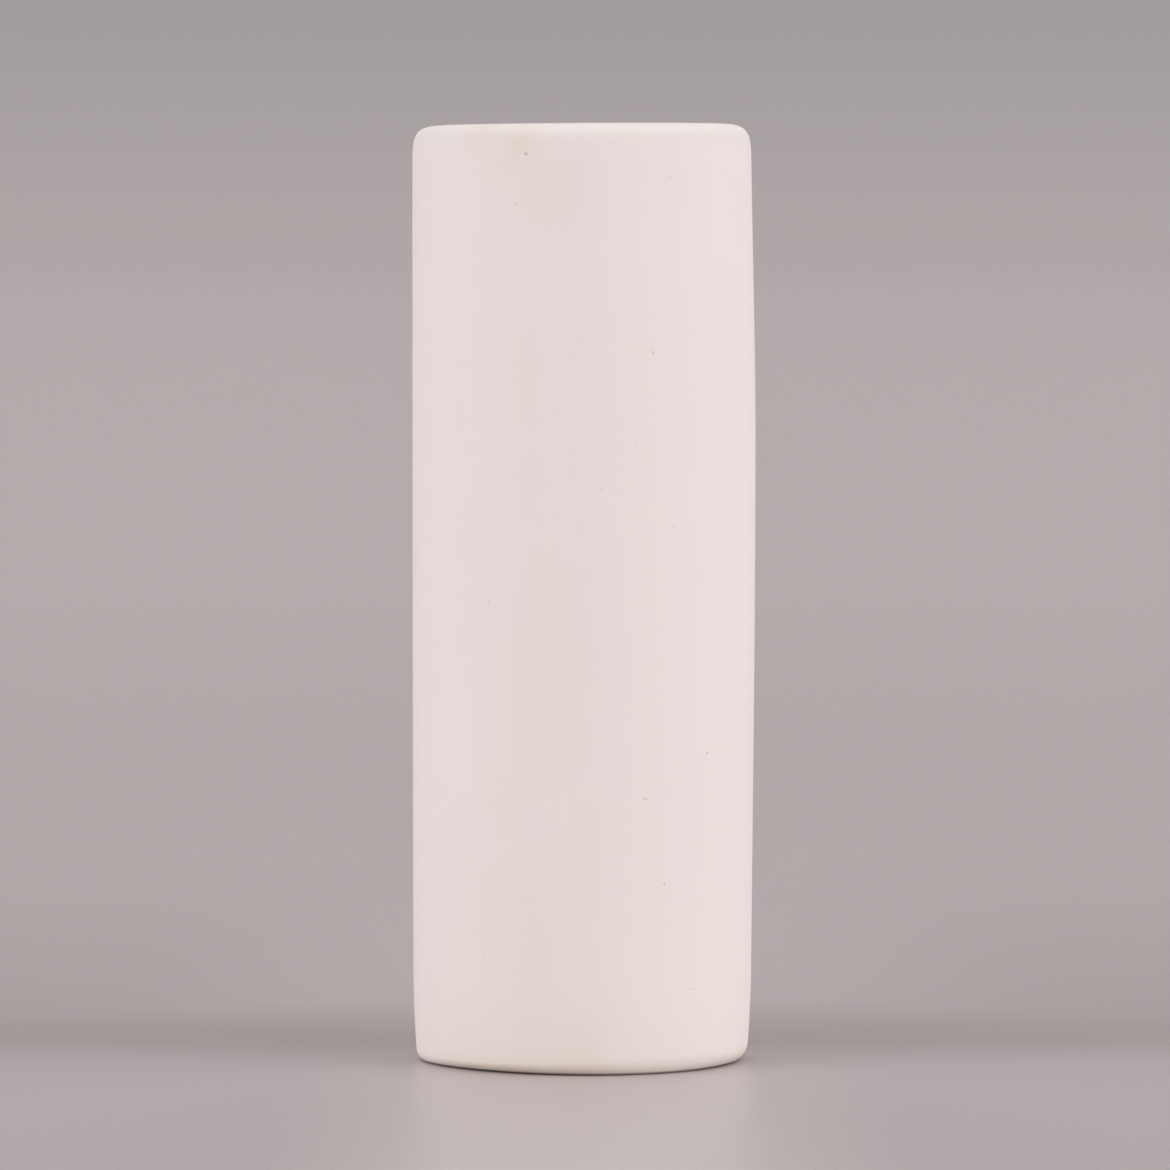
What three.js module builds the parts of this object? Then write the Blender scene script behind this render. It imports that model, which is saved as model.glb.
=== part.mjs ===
// Cylindrical ceramic vase, built as a potter builds it: a tall cylinder wall, a floor disc let into
// its lower end, a coil pressed into the inside corner, and a lining of clear glaze.
// Millimetres, +Z up. The foot stands on z = 0 and the origin is under the middle of the vase.

import * as THREE from "three";

// Overall form
const HEIGHT = 250;
const FOOT_RADIUS = 45.09;
const RIM_RADIUS = 45.11;

// The wall swells a little above its middle, and more on the +X side
const SWELL = 0.71;
const BOW = 0.64;
const SWELL_CENTRE = 164.4;
const SWELL_REACH_UP = 98;
const SWELL_REACH_DOWN = 210;

// The rim leans up towards +X by this much at the outside of the wall
const RIM_LEAN = 0.29;

// Wall and lip
const WALL = 10.5;
const LIP_OUTER_WIDTH = 9;
const LIP_OUTER_DROP = 17.6;
const LIP_ACROSS_POWER = 3.2;
const LIP_UP_POWER = 7.7;
const LIP_INNER_DROP = 3;

// Lower end of the wall: a slight taper, a rounded heel outside and a softened edge inside
const FOOT_TAPER = 1;
const FOOT_TAPER_HEIGHT = 25;
const HEEL_WIDTH = 4;
const HEEL_HEIGHT = 3.8;
const FOOT_INNER_ROUND = 0.8;

// Floor disc, set back from the foot ring
const BASE_THICKNESS = 8;
const FOOT_RECESS = 2.5;
const BASE_EDGE_ROUND = 1;

// Coil in the inside corner, with a concave face
const COIL_HOLLOW = 8;
const COIL_EDGE = 0.8;

// Glaze lining, which ends just below the lip and runs smoothly over the coil's edges
const GLAZE_THICKNESS = 0.8;
const GLAZE_STOP_BELOW_RIM = 7;
const GLAZE_RAMP = 4;

// Clearance between joined pieces
const SEAM_GAP = 0.3;

// Fineness of the surfaces
const SEGMENTS = 64;
const TAPER_RINGS = 3;
const WALL_RINGS = 9;
const LIP_STEPS = 9;
const ROUND_STEPS = 4;
const COIL_STEPS = 5;

// How far the swell has risen at height z, from 0 at its ends to 1 at its centre.
function swellAt(z) {
  const reach = z > SWELL_CENTRE ? SWELL_REACH_UP : SWELL_REACH_DOWN;
  const distance = Math.min(1, Math.abs(z - SWELL_CENTRE) / reach);
  return 0.5 * (1 + Math.cos(Math.PI * distance));
}

// Radius of the wall's outside before the lip, the heel and the foot taper are taken off.
function sideRadius(z) {
  const share = z / HEIGHT;
  return FOOT_RADIUS + (RIM_RADIUS - FOOT_RADIUS) * share + SWELL * swellAt(z);
}

function footTaper(z) {
  const left = Math.max(0, 1 - z / FOOT_TAPER_HEIGHT);
  return FOOT_TAPER * left * left;
}

function boreRadius(z) {
  return sideRadius(z) - WALL;
}

// Heights spread evenly between two ends, without the first one.
function heights(from, to, count) {
  return Array.from({ length: count }, (_, i) => from + ((to - from) * (i + 1)) / count);
}

// A quarter turn as pairs of sine and cosine, without its first point.
function quarterTurn(steps) {
  return Array.from({ length: steps }, (_, i) => {
    const angle = (Math.PI / 2) * ((i + 1) / steps);
    return { sin: Math.sin(angle), cos: Math.cos(angle) };
  });
}

// Turns a closed outline of (radius, height) points round the Z axis, then bows and leans it the
// way the whole vase does, so that pieces which fit before the bow still fit after it.
function turned(outline) {
  const points = outline.map(([radius, z]) => new THREE.Vector2(Math.max(0, radius), z));
  points.push(points[0].clone());
  const geometry = new THREE.LatheGeometry(points, SEGMENTS);
  geometry.rotateX(Math.PI / 2);
  const place = geometry.getAttribute("position");
  for (let i = 0; i < place.count; i++) {
    const x = place.getX(i);
    const z = place.getZ(i);
    const share = z / HEIGHT;
    place.setX(i, x + BOW * swellAt(z));
    place.setZ(i, z + (RIM_LEAN * share * share * x) / RIM_RADIUS);
  }
  geometry.computeVertexNormals();
  return geometry;
}

// The lip's outer round is a superellipse from the side up to the crest: it leaves the side
// slowly and turns over quickly near the top.
function lipOuter() {
  const crestRadius = sideRadius(HEIGHT) - LIP_OUTER_WIDTH;
  const start = HEIGHT - LIP_OUTER_DROP;
  return quarterTurn(LIP_STEPS).map(({ sin, cos }) => {
    const z = start + LIP_OUTER_DROP * sin ** (2 / LIP_UP_POWER);
    const across = Math.max(0, cos) ** (2 / LIP_ACROSS_POWER);
    return [crestRadius + (sideRadius(z) - crestRadius) * across, z];
  });
}

// The lip's inner round runs from the crest down to the bore as a quarter ellipse.
function lipInner() {
  const crestRadius = sideRadius(HEIGHT) - LIP_OUTER_WIDTH;
  return quarterTurn(ROUND_STEPS).map(({ sin, cos }) => {
    const z = HEIGHT - LIP_INNER_DROP * (1 - Math.max(0, cos));
    return [crestRadius - (crestRadius - boreRadius(z)) * sin, z];
  });
}

function heel() {
  const steps = quarterTurn(ROUND_STEPS).map(({ sin, cos }) => {
    const z = HEEL_HEIGHT * (1 - Math.max(0, cos));
    return [sideRadius(z) - footTaper(z) - HEEL_WIDTH * (1 - sin), z];
  });
  return [[sideRadius(0) - FOOT_TAPER - HEEL_WIDTH, 0], ...steps];
}

function bodyWall() {
  const side = [
    ...heights(HEEL_HEIGHT, FOOT_TAPER_HEIGHT, TAPER_RINGS),
    ...heights(FOOT_TAPER_HEIGHT, HEIGHT - LIP_OUTER_DROP, WALL_RINGS),
  ];
  const bore = heights(HEIGHT - LIP_INNER_DROP, FOOT_INNER_ROUND, WALL_RINGS);
  return turned([
    ...heel(),
    ...side.map((z) => [sideRadius(z) - footTaper(z), z]),
    ...lipOuter(),
    ...lipInner(),
    ...bore.map((z) => [boreRadius(z), z]),
    [boreRadius(0) + FOOT_INNER_ROUND, 0],
  ]);
}

// Height of the floor disc's upper face.
function floorTop() {
  return FOOT_RECESS + BASE_THICKNESS;
}

function baseDisc() {
  const top = floorTop();
  const upperRadius = boreRadius(top) - SEAM_GAP;
  const lowerRadius = boreRadius(FOOT_RECESS) - SEAM_GAP;
  return turned([
    [0, FOOT_RECESS],
    [lowerRadius - BASE_EDGE_ROUND, FOOT_RECESS],
    [boreRadius(FOOT_RECESS + BASE_EDGE_ROUND) - SEAM_GAP, FOOT_RECESS + BASE_EDGE_ROUND],
    [upperRadius, top],
    [0, top],
  ]);
}

// The coil's concave face is a quarter circle round this point; its edges stay COIL_EDGE thick.
function coilCentre() {
  const z = floorTop() + SEAM_GAP + COIL_EDGE + COIL_HOLLOW;
  return { radius: boreRadius(z) - SEAM_GAP - COIL_EDGE - COIL_HOLLOW, z };
}

// The concave face from its top at the wall to its foot on the floor, moved inwards by offset.
function coilFace(offset) {
  const centre = coilCentre();
  const reach = COIL_HOLLOW - offset;
  const steps = quarterTurn(COIL_STEPS).map(({ sin, cos }) => [
    centre.radius + reach * cos,
    centre.z - reach * sin,
  ]);
  return [[centre.radius + reach, centre.z], ...steps];
}

function seamCoil() {
  const centre = coilCentre();
  const foot = floorTop() + SEAM_GAP;
  return turned([
    [centre.radius, foot],
    [boreRadius(foot) - SEAM_GAP, foot],
    [boreRadius(centre.z) - SEAM_GAP, centre.z],
    ...coilFace(0),
  ]);
}

// One side of the lining, from its upper edge down the wall and over the coil to the axis.
function liningSide(offset) {
  const centre = coilCentre();
  const wallStart = HEIGHT - GLAZE_STOP_BELOW_RIM;
  const wallEnd = centre.z + SEAM_GAP + GLAZE_RAMP;
  const wall = [wallStart, ...heights(wallStart, wallEnd, WALL_RINGS - 1)];
  return [
    ...wall.map((z) => [boreRadius(z) - offset, z]),
    ...coilFace(offset),
    [centre.radius - SEAM_GAP - GLAZE_RAMP, floorTop() + offset],
    [0, floorTop() + offset],
  ];
}

function innerGlaze() {
  const claySide = liningSide(SEAM_GAP);
  const waterSide = liningSide(SEAM_GAP + GLAZE_THICKNESS);
  return turned([...claySide.reverse(), ...waterSide]);
}

const clay = new THREE.MeshStandardMaterial({ color: 0xe5dad7, roughness: 0.88, metalness: 0 });
const rawClay = new THREE.MeshStandardMaterial({ color: 0xcfc0b4, roughness: 0.92, metalness: 0 });
const clearGlaze = new THREE.MeshStandardMaterial({ color: 0xe3dcd2, roughness: 0.18, metalness: 0 });

function piece(name, geometry, material) {
  const mesh = new THREE.Mesh(geometry, material);
  mesh.name = name;
  return mesh;
}

const vase = new THREE.Group();
vase.add(piece("body_wall", bodyWall(), clay));
vase.add(piece("base_disc", baseDisc(), rawClay));
vase.add(piece("seam_coil", seamCoil(), rawClay));
vase.add(piece("inner_glaze", innerGlaze(), clearGlaze));

// The bow moves the wall's middle off the axis, so the vase is set back over the origin.
const extent = new THREE.Box3().setFromObject(vase);
vase.position.x = -(extent.min.x + extent.max.x) / 2;
vase.position.y = -(extent.min.y + extent.max.y) / 2;

export default vase;
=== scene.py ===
"""Cylindrical matt white vase on a pale floor, in metres, +Z up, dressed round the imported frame."""
import math

import bpy
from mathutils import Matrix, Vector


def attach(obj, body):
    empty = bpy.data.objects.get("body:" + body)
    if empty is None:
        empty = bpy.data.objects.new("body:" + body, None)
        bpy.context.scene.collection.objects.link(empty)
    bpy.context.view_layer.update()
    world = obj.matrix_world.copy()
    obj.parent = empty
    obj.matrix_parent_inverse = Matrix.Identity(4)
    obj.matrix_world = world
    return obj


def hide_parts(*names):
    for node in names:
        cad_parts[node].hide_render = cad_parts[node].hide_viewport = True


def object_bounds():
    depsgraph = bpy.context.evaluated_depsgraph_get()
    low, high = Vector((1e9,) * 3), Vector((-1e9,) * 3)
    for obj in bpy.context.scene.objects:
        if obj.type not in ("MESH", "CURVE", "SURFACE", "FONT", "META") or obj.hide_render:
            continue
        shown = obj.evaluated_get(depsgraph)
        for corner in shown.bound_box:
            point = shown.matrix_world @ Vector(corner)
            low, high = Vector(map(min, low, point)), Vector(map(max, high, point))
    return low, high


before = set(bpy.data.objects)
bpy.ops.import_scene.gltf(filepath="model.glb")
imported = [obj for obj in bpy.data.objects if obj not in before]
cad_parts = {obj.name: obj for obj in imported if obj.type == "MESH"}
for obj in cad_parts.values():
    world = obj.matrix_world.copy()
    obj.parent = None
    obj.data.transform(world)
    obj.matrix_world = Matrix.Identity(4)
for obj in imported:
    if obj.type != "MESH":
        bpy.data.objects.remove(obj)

MM = 0.001
CAD_BOX = [list(corner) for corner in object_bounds()]

# Form of the vase, in millimetres, with the same sizes as in the CAD source
HEIGHT = 250
FOOT_RADIUS = 45.09
RIM_RADIUS = 45.11
SWELL = 0.71
BOW = 0.64
SWELL_CENTRE = 164.4
SWELL_REACH_UP = 98
SWELL_REACH_DOWN = 210
RIM_LEAN = 0.29
WALL = 10.5
LIP_OUTER_WIDTH = 9
LIP_OUTER_DROP = 17.6
LIP_ACROSS_POWER = 3.2
LIP_UP_POWER = 7.7
LIP_INNER_DROP = 3
FOOT_TAPER = 1
FOOT_TAPER_HEIGHT = 25
HEEL_WIDTH = 4
HEEL_HEIGHT = 3.8
FOOT_INNER_ROUND = 0.8
BASE_THICKNESS = 8
FOOT_RECESS = 2.5
BASE_EDGE_ROUND = 1
COIL_HOLLOW = 8
COIL_EDGE = 0.8
GLAZE_THICKNESS = 0.8
GLAZE_STOP_BELOW_RIM = 7
GLAZE_RAMP = 4
SEAM_GAP = 0.3
FLOOR_TOP = FOOT_RECESS + BASE_THICKNESS
GLAZE_TOP = HEIGHT - GLAZE_STOP_BELOW_RIM

# The glaze thins out over this height below its upper edge, and bites this deep into the wall
GLAZE_FADE = 6
GLAZE_BITE = 0.05

# The foot isn't even. Each row gives a turn from +X and its reach to either side, in degrees, and
# how the foot differs there, in millimetres: in the heel's width, in the heel's height, in how far
# the wall is drawn in at the floor, and in how far it is lifted there.
FOOT_UNEVEN = [
    (180, 60, -2.2, -0.8, 0.1, 0.0),
    (-132, 50, 0.0, -1.0, 1.5, 0.15),
    (-62, 40, -1.2, 0.8, -0.3, 0.0),
    (-5, 50, -0.2, 0.8, 0.0, 0.0),
]

# The wall is drawn in up to this height, and stays even this near to its bore
DRAWN_IN_HEIGHT = 80
EVEN_NEAR_BORE = WALL / 4

# Fineness of the turned surfaces. They meet turns and heights that the coarser CAD model skips,
# so they are made a ten-thousandth smaller to stay inside its box.
SEGMENTS = 384
WALL_RINGS = 150
BORE_RINGS = 30
LIP_STEPS = 40
ROUND_STEPS = 14
SHRUNK = 0.9999

# Camera: a long lens about two metres off, a little below the lip. Places are in metres, and the
# lens and the sensor in millimetres. The photograph is a square whose sides have this many pixels.
CAMERA_DISTANCE = 2.0492
CAMERA_ASIDE = 0.00027
CAMERA_HEIGHT = 0.2224
CAMERA_PITCH = math.radians(2.662)
CAMERA_LENS = 236.05
CAMERA_SENSOR = 36
PHOTO_SIZE = 1170

# Marks seen on the front, chosen in the photograph. Pits, and pale specks with painted highlights on
# the lit rims of some pits, have their place in the photograph's pixels, counted from its left and
# its top. Stains have their distance across from the axis and their height in millimetres. Then each
# mark has its half width and half height in millimetres, and how strong it is.
PITS = [
    (525.7, 153.4, 0.6, 0.5, 0.45),
    (515.2, 203.3, 0.4, 0.4, 0.20),
    (669.2, 177.2, 0.7, 0.6, 0.10),
    (672.7, 274.1, 0.5, 0.9, 0.05),
    (652.5, 352.6, 0.6, 0.5, 0.25),
    (652.3, 349.6, 0.5, 0.8, 0.10),
    (553.8, 410.2, 0.3, 1.1, 0.10),
    (463.2, 426.0, 0.3, 0.9, 0.05),
    (601.1, 489.1, 0.5, 0.5, 0.15),
    (635.6, 441.8, 0.7, 0.9, 0.05),
    (672.0, 526.6, 0.8, 0.9, 0.08),
    (752.0, 554.8, 0.4, 0.4, 0.15),
    (680.7, 573.4, 0.3, 0.9, 0.08),
    (488.3, 602.3, 0.7, 0.9, 0.10),
    (706.6, 752.8, 0.4, 0.4, 0.45),
    (644.5, 798.0, 1.4, 0.4, 0.15),
    (644.8, 799.1, 0.5, 0.4, 0.30),
    (663.8, 883.3, 0.4, 0.5, 0.30),
    (593.5, 906.5, 1.3, 0.3, 0.05),
    (550.2, 940.2, 0.9, 0.4, 0.08),
    (483.2, 956.7, 0.4, 0.4, 0.25),
    (690.2, 988.6, 1.1, 0.4, 0.08),
    (419.3, 1044.5, 0.3, 0.5, 0.10),
]
# Pale marks: a few pale specks, and painted highlights on the lit rims of the pits next to them
FLECKS_AND_PIT_HIGHLIGHTS = [
    (520.8, 155.3, 0.3, 0.3, 0.90),
    (661.5, 230.5, 0.5, 0.5, 0.25),
    (657.5, 354.0, 1.0, 0.2, 0.40),
    (463.3, 382.0, 0.3, 0.8, 0.20),
    (705.5, 749.0, 0.2, 0.7, 0.70),
    (707.5, 755.1, 0.3, 0.3, 0.90),
    (662.0, 880.6, 0.3, 0.6, 0.50),
    (689.7, 991.3, 1.2, 0.3, 0.35),
]
WARM_STAINS = [
    (-16.5, 245.0, 8.0, 10.0, 0.25),
    (-27.5, 248.0, 9.0, 9.0, 0.19),
    (-22.0, 239.0, 8.0, 7.0, 0.06),
    (-11.0, 233.0, 15.0, 14.0, 0.07),
    (-16.0, 183.0, 7.0, 20.0, 0.05),
    (-9.0, 131.0, 7.0, 14.0, 0.06),
    (-10.0, 100.0, 17.0, 38.0, 0.07),
    (-21.0, 76.0, 9.0, 20.0, 0.05),
    (2.0, 66.0, 8.0, 14.0, 0.04),
    (-14.0, 34.0, 26.0, 34.0, 0.07),
    (2.5, 4.5, 6.0, 4.0, 0.08),
    (31.0, 4.0, 4.0, 2.0, 0.08),
]

# The curve of screen colours: straight up to a limit, and a power curve above it
SCREEN_WHITE = 255
STRAIGHT_LIMIT = 0.04045
STRAIGHT_SLOPE = 12.92
CURVE_OFFSET = 0.055
CURVE_POWER = 2.4


def linear(red, green, blue):
    """A screen colour, 0 to 255, as the linear colour that shaders take."""
    def channel(value):
        share = value / SCREEN_WHITE
        if share <= STRAIGHT_LIMIT:
            return share / STRAIGHT_SLOPE
        return ((share + CURVE_OFFSET) / (1 + CURVE_OFFSET)) ** CURVE_POWER
    return (channel(red), channel(green), channel(blue), 1.0)


# Colours of the matt clay
CLAY = linear(229, 220, 217)
CLAY_CLOUD = linear(230, 221, 218)
CLAY_STREAK = linear(231, 222, 218)
# Darker clay, used low down and for the painted shade under the lip
CLAY_DARKER_AND_SHADE = linear(204, 194, 190)
STAINED = linear(216, 198, 168)
TOASTED = linear(214, 200, 170)
# Painted contact shadow on the lowest millimetre of the foot
FOOT_CONTACT_SHADOW = linear(100, 86, 74)
PIT_DARK = linear(110, 88, 74)
# Pale colour of specks and of painted highlights on pit rims
FLECK_AND_HIGHLIGHT_PALE = linear(250, 243, 239)

# Colours of the raw clay and of the glaze, each from darker to paler
RAW_CLAY = [linear(206, 190, 176), linear(218, 205, 194)]
GLAZED_CLAY = [linear(224, 213, 205), linear(231, 221, 215)]


# Turned forms. An outline is a list of points, each a radius and a height.

def falloff(distance):
    """1 at distance 0, falling smoothly to 0 at distance 1 and beyond."""
    return 0.5 * (1 + math.cos(math.pi * min(1, distance)))


def swell_at(z):
    """How far the swell has risen at height z, from 0 at its ends to 1 at its centre."""
    reach = SWELL_REACH_UP if z > SWELL_CENTRE else SWELL_REACH_DOWN
    return falloff(abs(z - SWELL_CENTRE) / reach)


def side_radius(z):
    """Radius of the wall's outside before the lip, the heel and the foot taper are taken off."""
    share = z / HEIGHT
    return FOOT_RADIUS + (RIM_RADIUS - FOOT_RADIUS) * share + SWELL * swell_at(z)


def foot_taper(z):
    """How much narrower the wall is at height z, near the floor."""
    left = max(0, 1 - z / FOOT_TAPER_HEIGHT)
    return FOOT_TAPER * left * left


def bore_radius(z):
    return side_radius(z) - WALL


def heights(start, stop, count):
    """Heights spread evenly between two ends, without the first one."""
    return [start + (stop - start) * (i + 1) / count for i in range(count)]


def quarter_turn(steps):
    """Pairs of sine and cosine for a quarter turn, without its first point."""
    angles = [math.pi / 2 * (i + 1) / steps for i in range(steps)]
    return [(math.sin(angle), max(0, math.cos(angle))) for angle in angles]


def lip_outer():
    """The lip's outer round, a superellipse from the side up to the crest."""
    crest = side_radius(HEIGHT) - LIP_OUTER_WIDTH
    points = []
    for sin, cos in quarter_turn(LIP_STEPS):
        z = HEIGHT - LIP_OUTER_DROP + LIP_OUTER_DROP * sin ** (2 / LIP_UP_POWER)
        across = cos ** (2 / LIP_ACROSS_POWER)
        points.append((crest + (side_radius(z) - crest) * across, z))
    return points


def lip_inner():
    """The lip's inner round, from the crest down to the bore."""
    crest = side_radius(HEIGHT) - LIP_OUTER_WIDTH
    points = []
    for sin, cos in quarter_turn(ROUND_STEPS):
        z = HEIGHT - LIP_INNER_DROP * (1 - cos)
        points.append((crest - (crest - bore_radius(z)) * sin, z))
    return points


def heel():
    """The rounded edge that the side stands on, from the foot ring up."""
    points = [(side_radius(0) - FOOT_TAPER - HEEL_WIDTH, 0)]
    for sin, cos in quarter_turn(ROUND_STEPS):
        z = HEEL_HEIGHT * (1 - cos)
        points.append((side_radius(z) - foot_taper(z) - HEEL_WIDTH * (1 - sin), z))
    return points


def wall_outline():
    side = heights(HEEL_HEIGHT, HEIGHT - LIP_OUTER_DROP, WALL_RINGS)
    bore = heights(HEIGHT - LIP_INNER_DROP, FOOT_INNER_ROUND, BORE_RINGS)
    outline = heel()
    outline += [(side_radius(z) - foot_taper(z), z) for z in side]
    outline += lip_outer()
    outline += lip_inner()
    outline += [(bore_radius(z), z) for z in bore]
    outline.append((bore_radius(0) + FOOT_INNER_ROUND, 0))
    return outline


def disc_outline():
    edge = bore_radius(FOOT_RECESS) - SEAM_GAP
    outline = [(0, FOOT_RECESS)]
    for sin, cos in quarter_turn(ROUND_STEPS):
        z = FOOT_RECESS + BASE_EDGE_ROUND * (1 - cos)
        outline.append((edge - BASE_EDGE_ROUND * (1 - sin), z))
    outline.append((bore_radius(FLOOR_TOP) - SEAM_GAP, FLOOR_TOP))
    outline.append((0, FLOOR_TOP))
    return outline


def coil_centre():
    """Radius and height of the point that the coil's concave face is turned round."""
    z = FLOOR_TOP + SEAM_GAP + COIL_EDGE + COIL_HOLLOW
    return bore_radius(z) - SEAM_GAP - COIL_EDGE - COIL_HOLLOW, z


def coil_face(offset):
    """The coil's concave face, from its top at the wall to its foot on the floor disc."""
    radius, z = coil_centre()
    reach = COIL_HOLLOW - offset
    points = [(radius + reach, z)]
    points += [(radius + reach * cos, z - reach * sin) for sin, cos in quarter_turn(ROUND_STEPS)]
    return points


def coil_outline():
    radius, z = coil_centre()
    foot = FLOOR_TOP + SEAM_GAP
    outline = [(radius, foot), (bore_radius(foot) - SEAM_GAP, foot), (bore_radius(z) - SEAM_GAP, z)]
    return outline + coil_face(0)


def lining_side(offset, wall_offset):
    """One side of the glaze, from its upper edge down the wall and over the coil to the axis."""
    radius, z = coil_centre()
    stop = z + SEAM_GAP + GLAZE_RAMP
    wall = heights(GLAZE_TOP, GLAZE_TOP - GLAZE_FADE, ROUND_STEPS)
    wall += heights(GLAZE_TOP - GLAZE_FADE, stop, BORE_RINGS)
    outline = [(bore_radius(height) - wall_offset(height), height) for height in wall]
    outline += coil_face(offset)
    outline.append((radius - SEAM_GAP - GLAZE_RAMP, FLOOR_TOP + offset))
    outline.append((0, FLOOR_TOP + offset))
    return outline


def water_offset(z):
    """How far the glaze's wet side stands off the wall: nothing at its upper edge."""
    below_edge = min(1, (GLAZE_TOP - z) / GLAZE_FADE)
    return (SEAM_GAP + GLAZE_THICKNESS) * math.sin(math.pi / 2 * below_edge)


def glaze_outline():
    clay_side = lining_side(SEAM_GAP, lambda z: -GLAZE_BITE)
    water_side = lining_side(SEAM_GAP + GLAZE_THICKNESS, water_offset)
    upper_edge = (bore_radius(GLAZE_TOP) + GLAZE_BITE, GLAZE_TOP)
    return list(reversed(clay_side)) + [upper_edge] + water_side


def set_back():
    """How far the bowed vase is moved towards -X, so that it meets the side of the frame's box."""
    reach = max(radius + BOW * swell_at(z) for radius, z in wall_outline())
    return reach - CAD_BOX[1][0] / MM


SET_BACK = set_back()


def bump_at(turn, centre, reach):
    """1 where turn is at centre, falling smoothly to 0 at reach from it; all in degrees."""
    off = abs((turn - centre + 180) % 360 - 180)
    return falloff(off / reach)


def uneven(turn, radius, z):
    """Moves a point of the wall's outside near the foot, so that the foot varies with the turn."""
    if z >= DRAWN_IN_HEIGHT or radius < bore_radius(z) + EVEN_NEAR_BORE:
        return radius, z
    width = height = drawn_in = lift = 0
    for centre, reach, wider, taller, deeper, raised in FOOT_UNEVEN:
        share = bump_at(turn, centre, reach)
        width += share * wider
        height += share * taller
        drawn_in += share * deeper
        lift += share * raised
    inset = max(0, side_radius(z) - foot_taper(z) - radius) / HEEL_WIDTH
    above_heel = max(0, FOOT_TAPER_HEIGHT - z) / (FOOT_TAPER_HEIGHT - HEEL_HEIGHT)
    inwards = width * inset + drawn_in * (1 - z / DRAWN_IN_HEIGHT) ** 2
    upwards = height * min(z / HEEL_HEIGHT, above_heel) + lift * max(0, 1 - z / HEEL_HEIGHT)
    return radius - inwards, z + upwards


def placed(x, y, z):
    """A point bowed, leaned and set back as the whole vase is, in metres."""
    bowed = x + BOW * swell_at(z) - SET_BACK
    leaned = z + RIM_LEAN * (z / HEIGHT) ** 2 * x / RIM_RADIUS
    return tuple(value * MM * SHRUNK for value in (bowed, y, leaned))


def turned(name, outline):
    """A solid turned from an outline, which starts and ends on the axis or is closed."""
    verts = []
    rings = []
    for radius, z in outline:
        if radius == 0:
            rings.append([len(verts)] * SEGMENTS)
            verts.append(placed(0, 0, z))
            continue
        rings.append([len(verts) + i for i in range(SEGMENTS)])
        for i in range(SEGMENTS):
            turn = 360 * i / SEGMENTS
            around, up = uneven(turn, radius, z)
            angle = math.radians(turn)
            verts.append(placed(around * math.cos(angle), around * math.sin(angle), up))
    pairs = list(zip(rings, rings[1:]))
    if outline[0][0] > 0:
        pairs.append((rings[-1], rings[0]))
    faces = []
    for low, high in pairs:
        for i in range(SEGMENTS):
            after = (i + 1) % SEGMENTS
            corners = dict.fromkeys([low[i], low[after], high[after], high[i]])
            if len(corners) > 2:
                faces.append(list(corners))
    mesh = bpy.data.meshes.new(name)
    mesh.from_pydata(verts, [], faces)
    mesh.validate()
    mesh.shade_smooth()
    piece = bpy.data.objects.new(name, mesh)
    bpy.context.scene.collection.objects.link(piece)
    return piece


# Shader helpers. Points and sizes in the shaders are in millimetres.

def add(tree, kind, values=None, **settings):
    """A new node with its settings, and its inputs set to numbers or joined to sockets."""
    node = tree.nodes.new(kind)
    for key, value in settings.items():
        setattr(node, key, value)
    for key, value in (values or {}).items():
        if isinstance(value, bpy.types.NodeSocket):
            tree.links.new(value, node.inputs[key])
        else:
            node.inputs[key].default_value = value
    return node


def new_tree(data):
    """The emptied node tree of a material or a world."""
    data.use_nodes = True
    data.node_tree.nodes.clear()
    return data.node_tree


def point(tree):
    """The point being shaded, in millimetres from the vase's origin."""
    metres = add(tree, "ShaderNodeTexCoord").outputs["Object"]
    values = {"Vector": metres, "Scale": 1 / MM}
    return add(tree, "ShaderNodeVectorMath", values, operation="SCALE").outputs["Vector"]


def parts(tree, vector):
    """The outputs X, Y and Z of a vector."""
    return add(tree, "ShaderNodeSeparateXYZ", {"Vector": vector}).outputs


def calculate(tree, operation, first, second=0.0, clamp=False):
    """The result of one of Blender's math operations on two values."""
    node = add(tree, "ShaderNodeMath", {0: first, 1: second}, operation=operation, use_clamp=clamp)
    return node.outputs["Value"]


def times(tree, first, second):
    return calculate(tree, "MULTIPLY", first, second)


def noise(tree, vector, width, height, detail=3.0, roughness=0.55):
    """Noise from 0 to 1 whose patches are about this wide and high."""
    stretch = (1 / width, 1 / width, 1 / height)
    scaled = add(tree, "ShaderNodeVectorMath", {0: vector, 1: stretch}, operation="MULTIPLY")
    place = scaled.outputs["Vector"]
    values = {"Vector": place, "Scale": 1.0, "Detail": detail, "Roughness": roughness}
    return add(tree, "ShaderNodeTexNoise", values).outputs["Fac"]


def ramp(tree, value, low, high, top=1.0):
    """0 at low, top at high, smooth between."""
    values = {"Value": value, "From Min": low, "From Max": high, "To Max": top}
    node = add(tree, "ShaderNodeMapRange", values, interpolation_type="SMOOTHSTEP")
    return node.outputs["Result"]


def between(tree, value, low, high):
    """A value from 0 to 1 as a number from low to high."""
    values = {"Value": value, "To Min": low, "To Max": high}
    return add(tree, "ShaderNodeMapRange", values).outputs["Result"]


# The mix node has sockets of the same name for each kind of value. These are the places of those
# for colours.
MIX_FACTOR = 0
MIX_FIRST = 6
MIX_SECOND = 7
MIX_RESULT = 2


def mix(tree, factor, first, second):
    """The first colour at factor 0 and the second at factor 1."""
    values = {MIX_FACTOR: factor, MIX_FIRST: first, MIX_SECOND: second}
    return add(tree, "ShaderNodeMix", values, data_type="RGBA").outputs[MIX_RESULT]


def bump(tree, height, strength, depth, under=None):
    """A normal bent by a height, of which 1 stands for this depth, on top of another bump."""
    values = {"Height": height, "Strength": strength, "Distance": depth * MM}
    if under is not None:
        values["Normal"] = under
    return add(tree, "ShaderNodeBump", values).outputs["Normal"]


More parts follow.
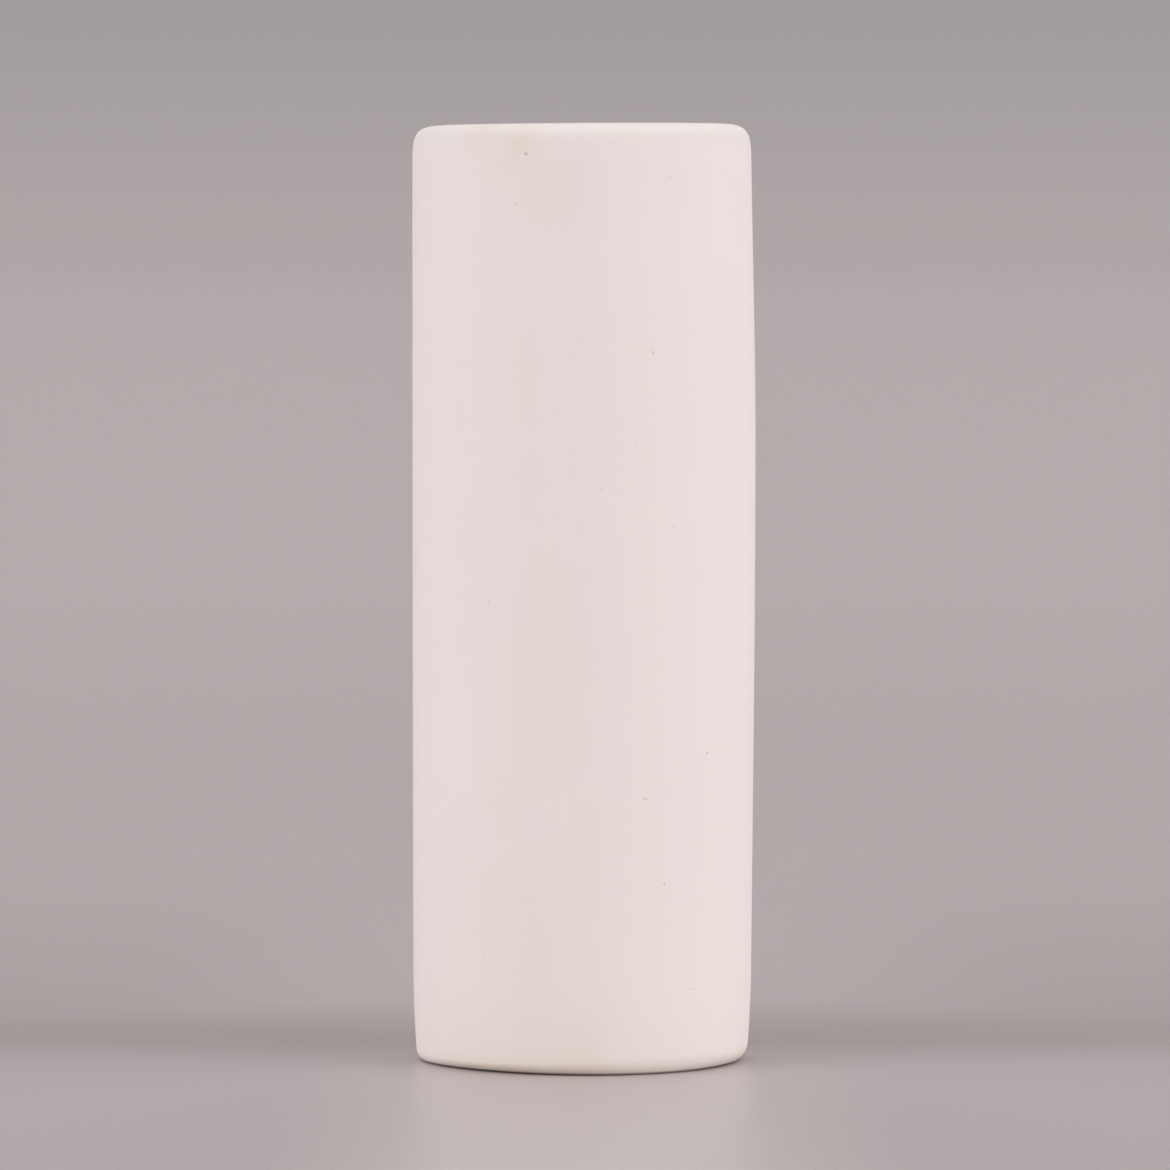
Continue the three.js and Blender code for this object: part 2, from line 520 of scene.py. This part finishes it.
def surface(tree, colour, roughness, normal, specular):
    """Ends a material in one principled shader."""
    values = {"Base Color": colour, "Roughness": roughness, "Normal": normal}
    shader = add(tree, "ShaderNodeBsdfPrincipled", values)
    shader.inputs["Specular IOR Level"].default_value = specular
    add(tree, "ShaderNodeOutputMaterial", {"Surface": shader.outputs["BSDF"]})


# Finishes of the vase. Sizes and places are in millimetres. A pair gives where a shade is absent and
# where it is full, and a share says how far the shade then goes over to its colour. A bump says how
# strongly a depth shows. Roughnesses are pairs of least and most.

# The share of its size over which a mark has its full strength. A stain has it at its middle only.
MARK_CORE = 0.3
STAIN_CORE = 0

# The range that holds most values of a noise
NOISE_RANGE = (0.3, 0.7)


def blot(tree, vector, centre, size, strength, core):
    """A spot with these half sizes, at full strength in its core and 0 from its outside on."""
    off = add(tree, "ShaderNodeVectorMath", {0: vector, 1: centre}, operation="SUBTRACT")
    scale = tuple(1 / value for value in size)
    values = {0: off.outputs["Vector"], 1: scale}
    unit = add(tree, "ShaderNodeVectorMath", values, operation="MULTIPLY")
    far = add(tree, "ShaderNodeVectorMath", {0: unit.outputs["Vector"]}, operation="LENGTH")
    return ramp(tree, far.outputs["Value"], 1.0, core, strength)


def front_point(across, height):
    """Point on the front of the wall at this distance across and this height."""
    off_axis = across - BOW * swell_at(height) + SET_BACK
    radius = side_radius(height) - foot_taper(height)
    turn = -math.degrees(math.acos(off_axis / radius))
    radius, _ = uneven(turn, radius, height)
    return across, -math.sqrt(radius ** 2 - off_axis ** 2), height


# The middle of a pixel, and how many steps find where a sight line meets the wall
PIXEL_MIDDLE = 0.5
SIGHT_STEPS = 6


def seen_place(column, row):
    """Distance across and height of the place on the wall that this pixel of the photograph shows.

    The wall's radius depends on the height of the place, so each step starts from the last height.
    """
    focal = PHOTO_SIZE * CAMERA_LENS / CAMERA_SENSOR
    right = (column + PIXEL_MIDDLE - PHOTO_SIZE / 2) / focal
    above = (PHOTO_SIZE / 2 - row - PIXEL_MIDDLE) / focal
    sin, cos = math.sin(CAMERA_PITCH), math.cos(CAMERA_PITCH)
    drift = right / (cos + above * sin)
    climb = (above * cos - sin) / (cos + above * sin)
    aside, distance, camera_height = (v / MM for v in (CAMERA_ASIDE, CAMERA_DISTANCE, CAMERA_HEIGHT))
    height = camera_height + climb * distance
    for _ in range(SIGHT_STEPS):
        radius = side_radius(height) - foot_taper(height)
        off_axis = aside - BOW * swell_at(height) + SET_BACK
        spread = 1 + drift ** 2
        towards = distance - off_axis * drift
        beyond = distance ** 2 + off_axis ** 2 - radius ** 2
        ahead = (towards - math.sqrt(towards ** 2 - spread * beyond)) / spread
        height = camera_height + climb * ahead
    return aside + drift * ahead, height


def on_wall(marks):
    """Marks that have their place in the photograph's pixels, with their place on the wall."""
    return [(*seen_place(column, row), *rest) for column, row, *rest in marks]


def front_marks(tree, vector, marks, operation, core=MARK_CORE):
    """All the marks of one list, joined into one value."""
    total = 0.0
    for across, height, half_width, half_height, strength in marks:
        size = (half_width, half_width, half_height)
        spot = blot(tree, vector, front_point(across, height), size, strength, core)
        total = calculate(tree, operation, total, spot)
    return total


# Pits on the side turned away from the photograph lie at the points of a random lattice. They set in
# between two distances behind the vase's middle.
BACK_PIT_SPACING = 12
BACK_PIT_RADIUS = 0.5
BACK_PIT_STRENGTH = 0.35
BACK_PITS_BEHIND = (1, 4)


def back_pits(tree, vector, back):
    """Sparse pits on the half of the wall that the photograph doesn't show."""
    values = {"Vector": vector, "Scale": 1 / BACK_PIT_SPACING}
    distance = add(tree, "ShaderNodeTexVoronoi", values).outputs["Distance"]
    edge = BACK_PIT_RADIUS / BACK_PIT_SPACING
    pit = ramp(tree, distance, edge, MARK_CORE * edge, BACK_PIT_STRENGTH)
    return times(tree, pit, ramp(tree, back, *BACK_PITS_BEHIND))


# The kiln toasts the foot: a low ring, and patches that reach higher on the side towards -X. The
# edge of that side stays clear, as in the photograph.
RING_HEIGHTS = (6, 0.5)
RING_SHARE = 0.22
PATCH_HEIGHTS = (26, 2)
PATCH_ACROSS = (12, -2)
PATCH_SHARE = 0.19
PATCH_SIZE = 14
PATCH_NOISE = (0.3, 0.6)
PATCH_LEAST = 0.4
CLEAR_OF_EDGE = (-44, -30)


def toasting(tree, vector, across, up):
    """How toasted the foot is."""
    patches = ramp(tree, noise(tree, vector, PATCH_SIZE, PATCH_SIZE), *PATCH_NOISE)
    high = times(tree, ramp(tree, up, *PATCH_HEIGHTS, PATCH_SHARE), ramp(tree, across, *PATCH_ACROSS))
    high = times(tree, high, between(tree, patches, PATCH_LEAST, 1.0))
    ring = ramp(tree, up, *RING_HEIGHTS, RING_SHARE)
    return times(tree, calculate(tree, "ADD", high, ring), ramp(tree, across, *CLEAR_OF_EDGE))


# The painted shade under the lip fades out upwards and downwards
SHADE_UNDER_LIP_UPPER = (249.2, 246.9)
SHADE_UNDER_LIP_LOWER = (241.5, 247.5)
SHADE_UNDER_LIP_SHARE = 0.24


def painted_shade_under_lip(tree, up):
    """A faint painted shade below the lip's bright edge, where less light falls."""
    upper = ramp(tree, up, *SHADE_UNDER_LIP_UPPER, SHADE_UNDER_LIP_SHARE)
    return times(tree, upper, ramp(tree, up, *SHADE_UNDER_LIP_LOWER))


# Matt clay, a little darker low down, with a painted contact shadow where it meets the floor.
CLOUD_SIZE = 45
STREAK_WIDTH = 8
STREAK_HEIGHT = 280
STREAK_NOISE = (0.35, 0.7)
STREAK_SHARE = 0.4
LOW_DULL_HEIGHTS = (90, 0)
LOW_DULL_SHARE = 0.04
CONTACT_SHADOW_HEIGHTS = (0.9, 0.3)
CONTACT_SHADOW_SHARE = 0.58
PIT_DEPTH = 0.4
PIT_BUMP = 0.4
GRAIN_SIZE = 0.7
GRAIN_DEPTH = 0.4
GRAIN_BUMP = 0.08
CLAY_ROUGHNESS = (0.75, 0.85)
CLAY_SPECULAR = 0.3


def clay_material():
    """Matt warm white clay with clouds, streaks, stains, a toasted foot, pits, pale specks and grain,
    and with painted shade under the lip, painted highlights on pit rims and a painted contact shadow.
    """
    material = bpy.data.materials.new("matt_clay")
    tree = new_tree(material)
    place = point(tree)
    across, back, up = parts(tree, place)
    clouds = noise(tree, place, CLOUD_SIZE, CLOUD_SIZE)
    streaks = noise(tree, place, STREAK_WIDTH, STREAK_HEIGHT, detail=2, roughness=0.5)
    colour = mix(tree, ramp(tree, clouds, *NOISE_RANGE), CLAY, CLAY_CLOUD)
    colour = mix(tree, ramp(tree, streaks, *STREAK_NOISE, STREAK_SHARE), colour, CLAY_STREAK)
    colour = mix(tree, front_marks(tree, place, WARM_STAINS, "ADD", STAIN_CORE), colour, STAINED)
    colour = mix(tree, ramp(tree, up, *LOW_DULL_HEIGHTS, LOW_DULL_SHARE), colour, CLAY_DARKER_AND_SHADE)
    # Painted shade under the lip
    colour = mix(tree, painted_shade_under_lip(tree, up), colour, CLAY_DARKER_AND_SHADE)
    colour = mix(tree, toasting(tree, place, across, up), colour, TOASTED)
    # Painted contact shadow: the lowest millimetre of the wall goes dark brown
    colour = mix(tree, ramp(tree, up, *CONTACT_SHADOW_HEIGHTS, CONTACT_SHADOW_SHARE), colour, FOOT_CONTACT_SHADOW)
    pits = front_marks(tree, place, on_wall(PITS), "MAXIMUM")
    pits = calculate(tree, "MAXIMUM", pits, back_pits(tree, place, back))
    colour = mix(tree, pits, colour, PIT_DARK)
    # Pale specks, and painted highlights on the lit rims of pits
    flecks_and_highlights = front_marks(tree, place, on_wall(FLECKS_AND_PIT_HIGHLIGHTS), "MAXIMUM")
    colour = mix(tree, flecks_and_highlights, colour, FLECK_AND_HIGHLIGHT_PALE)
    grain = noise(tree, place, GRAIN_SIZE, GRAIN_SIZE, roughness=0.6)
    grained = bump(tree, grain, GRAIN_BUMP, GRAIN_DEPTH)
    dented = bump(tree, times(tree, pits, -1.0), PIT_BUMP, PIT_DEPTH, under=grained)
    surface(tree, colour, between(tree, clouds, *CLAY_ROUGHNESS), dented, CLAY_SPECULAR)
    return material


# Raw clay
RAW_PATCH_SIZE = 22
RAW_GRAIN_SIZE = 0.9
RAW_GRAIN_DEPTH = 0.4
RAW_GRAIN_BUMP = 0.25
RAW_ROUGHNESS = (0.82, 0.95)
RAW_SPECULAR = 0.5


def bare_clay_material():
    """Dry, slightly toasted clay with a coarse grain."""
    material = bpy.data.materials.new("bare_clay")
    tree = new_tree(material)
    place = point(tree)
    patches = noise(tree, place, RAW_PATCH_SIZE, RAW_PATCH_SIZE, detail=4)
    colour = mix(tree, ramp(tree, patches, *NOISE_RANGE), *RAW_CLAY)
    grain = noise(tree, place, RAW_GRAIN_SIZE, RAW_GRAIN_SIZE, detail=4, roughness=0.65)
    grained = bump(tree, grain, RAW_GRAIN_BUMP, RAW_GRAIN_DEPTH)
    surface(tree, colour, between(tree, patches, *RAW_ROUGHNESS), grained, RAW_SPECULAR)
    return material


# Glaze, in shallow pools
POOL_SIZE = 33
POOL_DEPTH = 1.0
POOL_BUMP = 0.2
GLAZE_ROUGHNESS = (0.14, 0.24)
GLAZE_SPECULAR = 0.5


def glaze_material():
    """Glossy clear glaze over pale clay, a little uneven."""
    material = bpy.data.materials.new("clear_glaze")
    tree = new_tree(material)
    pools = noise(tree, point(tree), POOL_SIZE, POOL_SIZE)
    colour = mix(tree, ramp(tree, pools, *NOISE_RANGE), *GLAZED_CLAY)
    waved = bump(tree, pools, POOL_BUMP, POOL_DEPTH)
    surface(tree, colour, between(tree, pools, *GLAZE_ROUGHNESS), waved, GLAZE_SPECULAR)
    return material


def dress(name, outline, node, material):
    """Makes a fine piece in the place of a frame node and gives it its finish."""
    piece = turned(name, outline)
    piece.data.materials.append(material)
    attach(piece, "root")
    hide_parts(node)


def make_vase():
    bare = bare_clay_material()
    dress("vase_wall", wall_outline(), "body_wall", clay_material())
    dress("vase_floor_disc", disc_outline(), "base_disc", bare)
    dress("vase_seam_coil", coil_outline(), "seam_coil", bare)
    dress("vase_lining", glaze_outline(), "inner_glaze", glaze_material())


# Floor. Its size is in metres, and the places of its shades in millimetres from the vase's middle.
# It is palest straight in front of the vase, by a painted reflection, and has a painted shadow next
# to its foot. Behind the vase (+Y) a painted shade darkens it, stays dark a little and pales again,
# and the floor fades into the backdrop far away.

FLOOR_SIZE = 400
FLOOR_NEAR = linear(180, 170, 172)
# Paler strip in front of the vase: a painted reflection of it, on top of the floor's real gloss
FLOOR_PAINTED_REFLECTION = linear(188, 178, 178)
# Painted shade behind the vase and next to its foot
FLOOR_SHADE_BAND = linear(167, 157, 158)
FLOOR_BEHIND = linear(181, 171, 172)
FLOOR_FAR = linear(185, 175, 176)
FLOOR_HORIZON = linear(178, 170, 170)
BAND_START = -17
BAND_DARKEST = 53
BAND_LEAVE = 66
BAND_END = 185
WIDE_BAND_END = 700
WIDE_BAND_SHARE = 0.6
REFLECTION_OUT = 85
REFLECTION_IN = 45
SIDES_FROM = 50
SIDES_TO = 150
# Painted shadow on the floor next to the vase's foot
SHADOW_BESIDE_START = -30
SHADOW_BESIDE_FULL = 5
SHADOW_BESIDE_OUT = 85
SHADOW_BESIDE_IN = 55
SHADOW_BESIDE_SHARE = 0.6
FAR_FROM = 1200
FAR_TO = 2800
HORIZON_FROM = 4000
HORIZON_TO = 50000
FIBRE_SIZE = 1.1
FIBRE_DEPTH = 0.5
FIBRE_BUMP = 0.05
FLOOR_ROUGHNESS = 0.38
FLOOR_SPECULAR = 0.4


def floor_material():
    """Pale smooth paper with a soft painted shade behind the vase, deeper towards the sides."""
    material = bpy.data.materials.new("floor_paper")
    tree = new_tree(material)
    place = point(tree)
    across, back, _ = parts(tree, place)
    off_axis = calculate(tree, "ABSOLUTE", across)
    # Painted shade: a soft band behind the vase, narrow near it and wider towards the sides
    into = ramp(tree, back, BAND_START, BAND_DARKEST)
    narrow = times(tree, into, ramp(tree, back, BAND_END, BAND_LEAVE))
    wide = times(tree, into, ramp(tree, back, WIDE_BAND_END, BAND_LEAVE))
    wide = times(tree, wide, ramp(tree, off_axis, SIDES_FROM, SIDES_TO, WIDE_BAND_SHARE))
    # Painted reflection of the vase: a paler strip straight in front of it
    near = mix(tree, ramp(tree, off_axis, REFLECTION_OUT, REFLECTION_IN), FLOOR_NEAR, FLOOR_PAINTED_REFLECTION)
    # Painted shadow next to the vase's foot, fading out far behind it
    shadow_beside = ramp(tree, back, SHADOW_BESIDE_START, SHADOW_BESIDE_FULL, SHADOW_BESIDE_SHARE)
    shadow_beside = times(tree, shadow_beside, ramp(tree, off_axis, SHADOW_BESIDE_OUT, SHADOW_BESIDE_IN))
    shadow_beside = times(tree, shadow_beside, ramp(tree, back, BAND_LEAVE, BAND_START))
    far = mix(tree, ramp(tree, back, FAR_FROM, FAR_TO), FLOOR_BEHIND, FLOOR_FAR)
    far = mix(tree, ramp(tree, back, HORIZON_FROM, HORIZON_TO), far, FLOOR_HORIZON)
    colour = mix(tree, into, near, far)
    # The painted shade and the painted shadow next to the foot darken the floor
    band = calculate(tree, "MAXIMUM", narrow, wide)
    band = calculate(tree, "MAXIMUM", band, shadow_beside)
    colour = mix(tree, band, colour, FLOOR_SHADE_BAND)
    fibres = noise(tree, place, FIBRE_SIZE, FIBRE_SIZE)
    fibrous = bump(tree, fibres, FIBRE_BUMP, FIBRE_DEPTH)
    surface(tree, colour, FLOOR_ROUGHNESS, fibrous, FLOOR_SPECULAR)
    return material


def make_floor():
    half = FLOOR_SIZE / 2
    corners = [(-half, -half, 0), (half, -half, 0), (half, half, 0), (-half, half, 0)]
    mesh = bpy.data.meshes.new("studio_floor")
    mesh.from_pydata(corners, [], [(0, 1, 2, 3)])
    mesh.materials.append(floor_material())
    floor = bpy.data.objects.new("studio_floor", mesh)
    bpy.context.scene.collection.objects.link(floor)


# Backdrop and light. From the horizon up to SKY_HIGH_SLOPE, the backdrop goes over from its low to
# its high colour.

WORLD_LIGHT = 0.612
SKY_LOW = linear(175, 167, 167)
SKY_HIGH = linear(161, 154, 155)
SKY_HIGH_SLOPE = 0.031


def make_world():
    """A soft grey backdrop for the camera and for reflections, and an even, dim white light."""
    world = bpy.data.worlds.new("studio_world")
    tree = new_tree(world)
    direction = add(tree, "ShaderNodeTexCoord").outputs["Generated"]
    slope = parts(tree, direction)["Z"]
    climb = calculate(tree, "MULTIPLY", slope, 1 / SKY_HIGH_SLOPE, clamp=True)
    backdrop = mix(tree, climb, SKY_LOW, SKY_HIGH)
    rays = add(tree, "ShaderNodeLightPath").outputs
    seen = calculate(tree, "MAXIMUM", rays["Is Camera Ray"], rays["Is Glossy Ray"])
    seen = calculate(tree, "MAXIMUM", seen, rays["Is Transmission Ray"])
    light = add(tree, "ShaderNodeBackground", {"Color": (1, 1, 1, 1), "Strength": WORLD_LIGHT})
    picture = add(tree, "ShaderNodeBackground", {"Color": backdrop, "Strength": 1.0})
    values = {0: seen, 1: light.outputs["Background"], 2: picture.outputs["Background"]}
    blend = add(tree, "ShaderNodeMixShader", values)
    add(tree, "ShaderNodeOutputWorld", {"Surface": blend.outputs["Shader"]})
    bpy.context.scene.world = world


# Each lamp: name, azimuth from the camera's side towards +X and height above the floor, both in
# degrees, and strength
LAMPS = [
    ("left_front_softbox", -45, 10, 0.925),
    ("left_side_softbox", -75, 10, 1.35),
    ("right_front_softbox", 45, 10, 0.685),
    ("right_side_softbox", 75, 10, 1.86),
    ("back_softbox", 180, 25, 0.7),
]
LAMP_SOFTNESS = math.radians(60)


def make_lamp(name, azimuth, elevation, strength):
    """A wide, soft sun from one side. Nothing mirrors it, so the floor stays even."""
    lamp = bpy.data.lights.new(name, "SUN")
    lamp.energy = strength
    lamp.angle = LAMP_SOFTNESS
    holder = bpy.data.objects.new(name, lamp)
    holder.rotation_euler = (math.radians(90 - elevation), 0, math.radians(azimuth))
    holder.visible_glossy = False
    bpy.context.scene.collection.objects.link(holder)


def make_camera():
    """The camera that the scene is seen through."""
    camera = bpy.data.cameras.new("camera")
    camera.lens = CAMERA_LENS
    camera.sensor_width = CAMERA_SENSOR
    camera.clip_end = 2 * FLOOR_SIZE
    holder = bpy.data.objects.new("camera", camera)
    holder.location = (CAMERA_ASIDE, -CAMERA_DISTANCE, CAMERA_HEIGHT)
    holder.rotation_euler = (math.pi / 2 - CAMERA_PITCH, 0, 0)
    bpy.context.scene.collection.objects.link(holder)
    bpy.context.scene.camera = holder


make_vase()
make_floor()
make_world()
for lamp in LAMPS:
    make_lamp(*lamp)
make_camera()
bpy.context.scene.view_settings.view_transform = "Standard"
